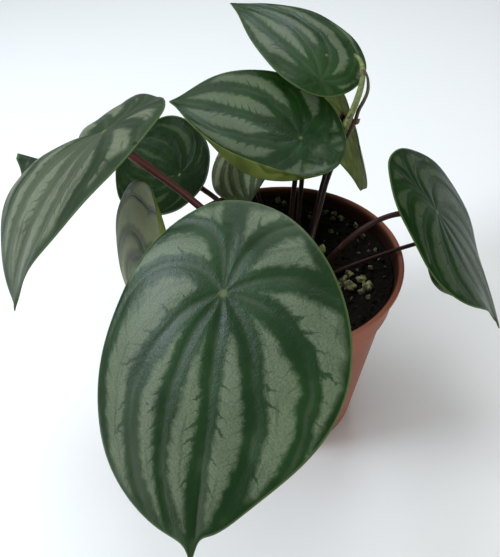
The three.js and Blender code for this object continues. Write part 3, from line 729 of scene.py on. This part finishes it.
def perlite_material():
    """Porous pale grains stained yellow-green and brown by the soil."""
    n = Nodes("perlite")
    place = n.place()
    pores = n.cells(place, 1500.0)
    colour = n.mix(n.ramp(n.noise(place, 300.0, 3, 0.65), 0.42, 0.62), *COLOURS.perlite)
    colour = n.mix(n.ramp(pores, 0.1, 0.35, 0.5, 0.0), colour, COLOURS.perlite_pores)
    return n.finish(colour, 0.85, n.bump(pores, 0.25, 0.8))


def mottled_material(name):
    """A surface mottled in two colours."""
    n = Nodes(name)
    look = MOTTLED[name]
    place = n.place()
    tone = n.noise(place, *look.grain)
    colour = n.mix(n.ramp(tone, 0.35, 0.65), *look.colours)
    if hasattr(look, "upper"):
        height = n.parts(place)[2]
        colour = n.mix(n.ramp(height, *look.heights, 0.0, 0.35), colour, look.upper)
    return n.finish(colour, look.roughness, n.bump(tone, *look.relief))


def along(entries, degrees, reach=1.0):
    """Sum of a margin's swells or lifts at angles round the stalk."""
    total = np.zeros(np.broadcast(degrees, reach).shape)
    for middle, span, amount, *power in entries:
        off = (degrees - middle + 180) % 360 - 180
        total = total + amount * reach ** (power[0] if power else 1) * np.exp(-((off / span) ** 2))
    return total


def bent(length, degrees, span):
    """A flat length bent through an angle over a span: how far it reaches and how far it rises."""
    bend = np.radians(np.where(np.abs(degrees) < 0.01, 0.01, degrees)) / span
    return np.sin(bend * length) / bend, (np.cos(bend * length) - 1) / bend


def leaf_axes(leaf):
    """A leaf's own directions: to its tip, to its left, and up from its upper face."""
    heading, fall, roll = (math.radians(angle) for angle in (leaf.heading, leaf.fall, leaf.roll))
    level_tip = np.array([math.cos(heading), math.sin(heading), 0])
    tip = level_tip * math.cos(fall) - np.array([0, 0, math.sin(fall)])
    level = np.array([-math.sin(heading), math.cos(heading), 0])
    out = np.cross(tip, level)
    left = level * math.cos(roll) + out * math.sin(roll)
    up = out * math.cos(roll) - level * math.sin(roll)
    return tip, left, up


def leaf_surface(leaf, reach, turn):
    """Points of the blade's middle surface and their flat coordinates, from the stalk (reach 0)
    to the margin (reach 1)."""
    forward = (1 + np.cos(turn)) / 2
    sideways = np.sin(turn)
    half = leaf.width / 2
    first = sideways > 0
    sharp = np.where(first, *leaf.sharp)
    skew = np.where(first, 1 + leaf.skew, 1 - leaf.skew)
    belly = 1 - leaf.belly * np.cos(turn)
    narrowing = 1 - BLADE.tip_narrowing * forward**sharp
    degrees = np.degrees(turn)
    scale = reach * (1 + along(leaf.swells, degrees))
    lengthways = (forward - leaf.base) * leaf.length * scale
    across = half * skew * sideways * narrowing * belly * scale

    side_reach, side_rise = bent(across, np.where(first, *leaf.half_turns), half)
    keel = math.tan(math.radians(leaf.keel)) * (np.sqrt(across**2 + 9) - 3)
    rise = side_rise - keel + along(leaf.lifts, degrees, reach)
    front = leaf.length * (1 - leaf.base)
    u, v = lengthways / front, across / front
    rise = rise + leaf_relief(leaf, u, v, reach, turn)

    tip_end = lengthways > 0
    span = np.where(tip_end, front, leaf.length * leaf.base)
    end_turn = np.where(tip_end, leaf.tip_turn, leaf.base_turn)
    spine_reach, spine_rise = bent(lengthways, end_turn, span)
    lean = np.radians(end_turn) * lengthways / span

    tip, left, up = leaf_axes(leaf)
    ahead = spine_reach + rise * np.sin(lean)
    above = spine_rise + rise * np.cos(lean)
    points = np.array(leaf.at) + ahead[:, None] * tip + side_reach[:, None] * left + above[:, None] * up
    return points, u, v


def leaf_relief(leaf, u, v, reach, turn):
    """The blade swells a little between its veins, and its margin ripples."""
    phase, _, apart = vein_pattern(leaf.look, u, v)
    size = leaf.length / 100
    inside = np.clip(apart * 9, 0, 1) ** 2 * np.clip((1 - reach) * 6, 0, 1)
    quilt = leaf.look.quilt * size * (0.5 - 0.5 * np.cos(TURN * phase)) * inside
    ripple = FINE.ripple * size * reach**4 * np.sin(FINE.ripples * turn + leaf.heading)
    return quilt + ripple


def leaf_normals(leaf, reach, turn):
    """Directions square to the blade, and outward along it, at places of its middle surface."""
    small = 0.01
    outer = np.minimum(1, reach + small)
    outward = leaf_surface(leaf, outer, turn)[0] - leaf_surface(leaf, outer - 2 * small, turn)[0]
    round_ = leaf_surface(leaf, reach, turn + small)[0] - leaf_surface(leaf, reach, turn - small)[0]
    return unit(np.cross(outward, round_)), unit(outward)


def wrapped(upper, rim, lower, middles):
    """What belongs to a blade's points, in their order: the upper rings outward, the rim, the
    lower rings inward, and the two middles."""
    inward = lower.reshape(-1, *rim.shape)[::-1].reshape(-1, 3)
    return np.vstack([upper, rim, inward, middles])


def blade(name, leaf):
    """A leaf blade: two faces and a rounded rim in one closed mesh."""
    rings, sectors = FINE.rings, FINE.sectors
    if leaf.length < FINE.small_leaf:
        rings, sectors = rings // 2, sectors // 2
    reach = np.repeat(np.linspace(0, 1, rings + 1)[1:] ** FINE.crowding, sectors)
    turn = np.tile(angles(sectors), rings)
    middle, u, v = leaf_surface(leaf, reach, turn)
    normals, outward = leaf_normals(leaf, reach, turn)
    thick = BLADE.thickness + (BLADE.margin_thickness - BLADE.thickness) * reach**2
    thick[-sectors:] *= FINE.rim_thickness
    half = normals * thick[:, None] / 2
    rim = middle[-sectors:] + outward[-sectors:] * FINE.rim
    half_middle = leaf_axes(leaf)[2] * BLADE.thickness / 2
    points = wrapped(middle + half, rim, middle - half, leaf.at + half_middle * [[1], [-1]])

    width = np.hypot(u[-sectors:], v[-sectors:]) * leaf.length * (1 - leaf.base)
    place = np.stack([u, v, (1 - reach) * np.tile(width, rings)], axis=1)
    places = wrapped(place, place[-sectors:], place, [[0, 0, width.mean()]] * 2)
    veins = np.stack(vein_pattern(leaf.look, places[:, 0], places[:, 1]), axis=1)

    faces = facing_away(stacked_faces(2 * rings + 1, sectors))
    sides = ([0] * (rings + 1) + [1] * (rings + 1)) * sectors
    materials = [leaf_upper(name, leaf.look), leaf_under(name, leaf.look)]
    piece = mesh_object(f"leaf_{name}", points, faces, materials, sides)
    store_vectors(piece, "leaf_place", places)
    store_vectors(piece, "leaf_veins", veins)
    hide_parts(f"blade_{name}")


def bezier(points, count):
    """A Bezier curve, from its first point to its last."""
    t = np.linspace(0, 1, count)[:, None]
    while len(points) > 1:
        points = [(1 - t) * a + t * b for a, b in zip(points, points[1:])]
    return points[0]


def smooth_path(points, count):
    """A centripetal Catmull-Rom curve through points, at even steps."""
    p = np.array(points, dtype=float)
    p = np.vstack([2 * p[0] - p[1], p, 2 * p[-1] - p[-2]])
    knots = np.concatenate([[0], np.cumsum(np.linalg.norm(np.diff(p, axis=0), axis=1) ** 0.5)])
    out = []
    for i in range(len(p) - 3):
        near, k = p[i : i + 4], knots[i : i + 4]
        t = np.linspace(k[1], k[2], 30, endpoint=False)[:, None]
        for spans in (((0, 1), (1, 2), (2, 3)), ((0, 2), (1, 3)), ((1, 2),)):
            pairs = zip(spans, near, near[1:])
            near = [((k[b] - t) * start + (t - k[a]) * end) / (k[b] - k[a]) for (a, b), start, end in pairs]
        out.append(near[0])
    path = np.vstack([*out, p[-2:-1]])
    lengths = np.concatenate([[0], np.cumsum(np.linalg.norm(np.diff(path, axis=0), axis=1))])
    even = np.linspace(0, lengths[-1], count)
    return np.stack([np.interp(even, lengths, path[:, k]) for k in range(3)], axis=1)


def path_frames(path):
    """Two directions square to the path at each point, turning as little as possible."""
    tangents = unit(np.gradient(path, axis=0))
    first = unit(np.cross(tangents[0], (0.3, 0.9, 0.1)))
    firsts = []
    for tangent in tangents:
        first = unit(first - tangent * np.dot(first, tangent))
        firsts.append(first)
    firsts = np.array(firsts)
    return firsts, np.cross(tangents, firsts)


def angles(count):
    """Even angles round a circle."""
    return np.linspace(0, TURN, count, endpoint=False)


def stacked_faces(rings, sides):
    """Faces of a closed body of stacked rings of points. Two points listed after the rings, its
    first and last middle, close its ends."""
    first = rings * sides
    faces = []
    for j in range(sides):
        k = (j + 1) % sides
        faces.append((first, k, j))
        for i in range(0, first - sides, sides):
            faces.append((i + j, i + k, i + sides + k, i + sides + j))
        faces.append((first + 1, first - sides + j, first - sides + k))
    return faces


def facing_away(faces):
    """The faces of a body whose rings run the other way."""
    return [(corner, *others[::-1]) for corner, *others in faces]


def tube(path, radii, sides):
    """Points and faces of a closed round tube; radii is one per point, or one per point and side."""
    first, second = path_frames(path)
    angle = angles(sides)[None, :, None]
    ring = np.cos(angle) * first[:, None] + np.sin(angle) * second[:, None]
    rings = path[:, None] + ring * np.reshape(radii, (len(path), -1, 1))
    return np.vstack([rings.reshape(-1, 3), path[:1], path[-1:]]), stacked_faces(len(path), sides)


def circles(profile, sides):
    """Points on level circles round the pot's axis, one for each (radius, height)."""
    angle = angles(sides)
    rings = [(r * np.cos(angle), r * np.sin(angle), np.full(sides, z)) for r, z in profile]
    return np.hstack(rings).T


def lathe(profile, sides):
    """Points and faces of a closed turned body from a profile that starts and ends on the axis."""
    ends = [(0, 0, profile[0][1]), (0, 0, profile[-1][1])]
    points = np.vstack([circles(profile[1:-1], sides), ends])
    return points, stacked_faces(len(profile) - 2, sides)


def joined(parts):
    """Several (points, faces) as one."""
    points, faces, start = [], [], 0
    for some_points, some_faces in parts:
        points.append(np.asarray(some_points))
        faces += [tuple(start + i for i in face) for face in some_faces]
        start += len(some_points)
    return np.vstack(points), faces


def foot_point(degrees):
    """Where a stalk starts, at an angle round the crown."""
    angle = math.radians(degrees)
    x, y = CROWN.centre
    circle = CROWN.foot_circle
    return np.array([x + circle * math.cos(angle), y + circle * math.sin(angle), CROWN.bottom])


def petiole(name, leaf, material):
    """A leaf stalk that swells a little at its foot and where it carries the blade."""
    around, height, lean, straight, radius = leaf.stalk
    up = leaf_axes(leaf)[2]
    end = np.array(leaf.at) - up * (BLADE.thickness / 2 + STALK.play)
    foot = foot_point(around)
    rise = foot + lean * (end - foot) + np.array([0, 0, height])
    path = bezier([foot, rise, end - up * straight, end], STALK.steps)
    share = np.linspace(0, 1, STALK.steps)
    radii = radius * (STALK.girth - STALK.waist * np.sin(math.pi * share) ** 2)
    collar = np.clip((share - STALK.collar_from) / (1 - STALK.collar_from), 0, 1)
    radii = radii * (1 + STALK.collar * collar**2)
    rng = np.random.default_rng(int(abs(around) * 7) + 3)
    wobbles = rng.uniform(1 - STALK.wobble, 1 + STALK.wobble, STALK.wobbles)
    wobble = np.interp(share, np.linspace(0, 1, STALK.wobbles), wobbles)
    piece = mesh_object(f"stalk_{name}", *tube(path, radii * wobble, STALK.sides), [material])
    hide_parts(f"petiole_{name}")


def flower_stalk(material):
    """The flower stalk with its side branch, swollen joints and a small bract."""
    main = smooth_path([foot_point(FLOWER.foot), *FLOWER.main, FLOWER.node], FLOWER.steps)
    joint = np.exp(-(((np.linspace(0, 1, FLOWER.steps) - 1) / 0.05) ** 2))
    branch = smooth_path(FLOWER.branch, FLOWER.branch_steps)
    fork = np.exp(-((np.linspace(0, 1, FLOWER.branch_steps) / 0.15) ** 2))
    steps = np.linspace(0, 1, 14)
    bract = np.array(FLOWER.node) + np.array(FLOWER.bract_foot)
    bract = bract + steps[:, None] * unit(np.array(FLOWER.bract_lean)) * FLOWER.bract_length
    width = 0.15 + FLOWER.bract_radius * np.sin(math.pi * np.clip(steps + 0.12, 0, 1)) ** 0.8
    parts = [
        tube(main, FLOWER.radius * (1 + 0.25 * joint), 18),
        tube(branch, FLOWER.radius * (0.8 + 0.3 * fork), 16),
        tube(bract, width, 12),
    ]
    piece = mesh_object("flower_stem", *joined(parts), [material])
    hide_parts("flower_stalk")


def spike(name, shape):
    """A flower spike: rows of round florets wound round a tapering rod."""
    sides = FLORETS.sides
    path = smooth_path(shape.path, FLORETS.steps)
    length = np.linalg.norm(np.diff(path, axis=0), axis=1).sum()
    share = np.linspace(0, 1, len(path))
    angle = np.linspace(0, 1, sides, endpoint=False)
    taper = shape.radius * (1 - 0.5 * share**3) * np.clip(share / 0.03, 0.5, 1) ** 0.5
    rows = share[:, None] * length / FLORETS.pitch
    one_way, other_way = FLORETS.windings
    bead = np.abs(np.sin(math.pi * (rows + angle * one_way)) * np.sin(math.pi * (rows - angle * other_way)))
    radii = taper[:, None] * (FLORETS.core + FLORETS.height * bead)
    radii[-1] *= 0.3
    materials = [spike_material(name, shape)]
    piece = mesh_object(name.replace("flower_spike", "spike"), *tube(path, radii, sides), materials)
    place = np.concatenate([np.repeat(share, sides), [0, 1]])
    store_vectors(piece, "spike_place", np.stack([place, 0 * place, 0 * place], axis=1))
    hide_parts(name)


def rounded(profile, radius, steps):
    """A profile with its corners eased."""
    out = [profile[0]]
    for corner in zip(profile, profile[1:], profile[2:]):
        before, at, after = np.array(corner, dtype=float)
        start = at + unit(before - at) * min(radius, 0.45 * np.linalg.norm(before - at))
        end = at + unit(after - at) * min(radius, 0.45 * np.linalg.norm(after - at))
        out += bezier([start, at, end], steps + 1).tolist()
    return [*out, profile[-1]]


def pot(material):
    """The nursery pot: lip, collar, step, tapered wall and a floor with drain holes."""
    profile = rounded(POT.profile, POT.rounding, POT.rounding_steps)
    piece = mesh_object("pot_shell", *lathe(profile, POT.segments), [material])
    radius = POT.drain_radius
    hole, hole_faces = lathe([(0, -5), (radius, -5), (radius, 8), (0, 8)], POT.drain_segments)
    holes = []
    for angle in angles(POT.drains) + math.pi / POT.drains:
        centre = np.array([math.cos(angle), math.sin(angle), 0]) * POT.drain_circle
        holes.append((hole + centre, hole_faces))
    cutter = linked("cutter", plain_mesh("cutter", *joined(holes)))
    drain = piece.modifiers.new("drain", "BOOLEAN")
    drain.object = cutter
    drain.operation = "DIFFERENCE"
    drain.solver = "EXACT"
    drained = piece.evaluated_get(bpy.context.evaluated_depsgraph_get())
    cut_mesh = bpy.data.meshes.new_from_object(drained)
    piece.modifiers.clear()
    piece.data = cut_mesh
    bpy.data.objects.remove(cutter)
    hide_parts("pot")


def soil_height(x, y):
    """Height of the soil's surface, without its crumbs."""
    rise = 0.0
    for at_x, at_y, height, width in SOIL.rises:
        rise += height * math.exp(-((x - at_x) ** 2 + (y - at_y) ** 2) / width**2)
    lumps = math.sin(0.31 * x + 1.1) * math.sin(0.27 * y + 0.4) + 0.6 * math.sin(0.53 * x - 0.35 * y)
    fade = min(1, max(0, (SOIL.edge - math.hypot(x, y)) / SOIL.fade))
    return SOIL.level + rise + SOIL.lumps * lumps * fade


def crumbly_height(x, y):
    """Height of the soil's surface with its crumbs: ridges of two sizes and a fine grain."""
    coarse, middle, fine = (
        height * noise.noise(Vector((x / size, y / size, layer))) for size, layer, height in CRUMBS
    )
    return soil_height(x, y) + abs(coarse) + abs(middle) + fine - CRUMB_DEPTH


def soil(material):
    """The soil: a crumbly surface on a plug that fills the pot."""
    sectors, rings, side = SOIL.sectors, SOIL.rings, SOIL.side
    level = circles([(SOIL.edge * ring / rings, 0) for ring in range(1, rings + 1)], sectors)
    surface = [(x, y, crumbly_height(x, y)) for x, y, _ in level]
    ends = [(0, 0, crumbly_height(0, 0)), (0, 0, side[-1][1])]
    points = np.vstack([surface, circles(side, sectors), ends])
    faces = facing_away(stacked_faces(rings + len(side), sectors))
    piece = mesh_object("soil_surface", points, faces, [material])
    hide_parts("soil")


@functools.cache
def ball(detail):
    """Points and faces of a ball of radius 1."""
    mesh = bmesh.new()
    bmesh.ops.create_icosphere(mesh, subdivisions=detail, radius=1.0)
    points = np.array([vertex.co for vertex in mesh.verts])
    faces = [tuple(vertex.index for vertex in face.verts) for face in mesh.faces]
    mesh.free()
    return points, faces


def chunk(rng, centre, radius, roughness, stretch, detail):
    """One irregular grain."""
    points, faces = ball(detail)
    offset = rng.uniform(0, 50, 3)
    bumps = np.array([noise.noise(Vector(p * 1.3 + offset)) for p in points])
    facets = np.array([noise.cell(Vector(p * 1.7 + offset)) for p in points])
    points = points * (1 + roughness * bumps + 0.25 * roughness * facets)[:, None]
    points = points * rng.uniform(*stretch, 3)
    turn = np.array(Matrix.Rotation(rng.uniform(0, 6.3), 3, Vector(unit(rng.normal(size=3)))))
    return points @ turn.T * radius + centre, faces


def scatter(rng, count, sizes, detail, roughness, stretch, avoid):
    """Grains of random size lying on the soil, away from the crown."""
    parts = []
    while len(parts) < count:
        angle, radius = rng.uniform(0, TURN), BITS_CIRCLE * math.sqrt(rng.uniform(0, 1))
        x, y = radius * math.cos(angle), radius * math.sin(angle)
        if math.dist((x, y), CROWN.centre) < avoid:
            continue
        size = rng.uniform(*sizes)
        centre = np.array([x, y, crumbly_height(x, y) + 0.25 * size])
        parts.append(chunk(rng, centre, size, roughness, stretch, detail))
    return parts


def soil_bits(materials):
    """Perlite grains, crumbs of peat and slivers of bark that lie on the soil."""
    rng = np.random.default_rng(11)
    grains = []
    for x, y, radius in GRAINS:
        centre = np.array([x, y, soil_height(x, y) + 0.45 * radius])
        grains.append(chunk(rng, centre, radius, **GRAIN))
    for name, kind in BITS.items():
        piece = mesh_object(name, *joined([*grains, *scatter(rng, *kind)]), [materials[name]])
        grains = []
        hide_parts("soil")


def crown(material):
    """The short ringed stem that the stalks stand round."""
    steps = CROWN.steps
    x, y = CROWN.centre
    heights = np.linspace(CROWN.bottom, CROWN.top, steps)
    path = np.stack([np.full(steps, x), np.full(steps, y), heights], axis=1)
    share = np.linspace(0, 1, steps)
    rings = np.abs(np.sin(CROWN.rings * math.pi * share)) ** 0.6 - 1
    radii = CROWN.radius + CROWN.ring_depth * rings
    radii = radii * np.sqrt(np.clip(1 - share**6, 0.02, 1)) * (1 - 0.3 * share**3)
    points, faces = tube(path, radii, CROWN.sides)
    rough = np.array([CROWN.roughness * noise.noise(Vector(p) * 0.9) for p in points])
    points = points + unit(points - np.array([x, y, CROWN.middle])) * rough[:, None]
    piece = mesh_object("crown_stem", points, faces, [material])
    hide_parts("crown")


def shoot(material):
    """A young shoot: a short stalk with a small leaf still folded."""
    foot = np.array([*SHOOT.foot, SHOOT.bottom], dtype=float)
    middle = foot + np.array([0, 0, SHOOT.height * 0.6])
    tip = foot + np.array([*SHOOT.lean, SHOOT.height - 1.5])
    path = bezier([foot, middle, tip], SHOOT.steps)
    share = np.linspace(0, 1, SHOOT.steps)[:, None]
    angle = angles(SHOOT.sides)
    flat = 0.72 + 0.28 * np.cos(2 * angle)
    crease = 1 - SHOOT.crease * np.exp(-(((angle - 1.2) / 0.3) ** 2))
    radii = SHOOT.radius * np.interp(share, *zip(*SHOOT.bulge))
    radii = radii * np.where(share > 0.3, flat * crease, 1)
    piece = mesh_object("young_leaf_bud", *tube(path, radii, SHOOT.sides), [material])
    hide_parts("young_shoot")


def look_at(place, target, roll=0.0):
    """The matrix of a camera or light at a place, in millimetres, that faces a target."""
    facing = (Vector(target) - Vector(place)).to_track_quat("-Z", "Y").to_matrix()
    turned = facing @ Matrix.Rotation(math.radians(roll), 3, "Z")
    return Matrix.LocRotScale(Vector(place) * MM, turned, None)


def add_camera():
    """The camera, at the photo's viewing angle."""
    data = bpy.data.cameras.new("camera")
    data.sensor_width = CAMERA.sensor
    data.lens = CAMERA.sensor * CAMERA.focal / CAMERA.longer_side
    camera = linked("camera", data)
    camera.matrix_world = look_at(CAMERA.place, CAMERA.target, CAMERA.roll)
    bpy.context.scene.camera = camera


def add_light(name, place, target, size, watts, colour):
    """A round softbox that faces its target."""
    data = bpy.data.lights.new(name, "AREA")
    data.shape = "DISK"
    data.size = size * MM
    data.energy = watts
    data.color = colour
    linked(name, data).matrix_world = look_at(place, target)


def add_surroundings():
    """A plain pale floor, soft light from all round, and the softboxes."""
    reach = FLOOR.reach
    corners = [(-reach, -reach, 0), (reach, -reach, 0), (reach, reach, 0), (-reach, reach, 0)]
    floor = linked("floor", plain_mesh("floor", corners, [(0, 1, 2, 3)]))
    floor.data.materials.append(Nodes("floor").finish(FLOOR.colour, FLOOR.roughness))

    world = bpy.data.worlds.new("studio")
    bpy.context.scene.world = world
    world.use_nodes = True
    background = world.node_tree.nodes["Background"]
    background.inputs["Color"].default_value = (*WORLD.colour, 1)
    background.inputs["Strength"].default_value = WORLD.strength
    for name, settings in LIGHTS.items():
        add_light(name, *settings)
    bpy.context.scene.view_settings.view_transform = "Standard"


def build():
    """The whole plant and its surroundings."""
    add_camera()
    add_surroundings()
    stalk_skin = stalk_material()
    for name, own in LEAVES.items():
        look = Settings(**PLAIN_LOOK | LOOKS[name])
        leaf = Settings(**EVEN_LEAF | own, look=look)
        blade(name, leaf)
        petiole(name, leaf, stalk_skin)
    flower_stalk(mottled_material("flower_stalk_skin"))
    for name, shape in SPIKES.items():
        spike(name, shape)
    pot(pot_material())
    peat = peat_material()
    soil(peat)
    soil_bits({
        "perlite_grains": perlite_material(),
        "peat_crumbs": peat,
        "bark_slivers": mottled_material("bark_fibre"),
    })
    crown(mottled_material("crown_bark"))
    shoot(mottled_material("young_leaf"))


build()
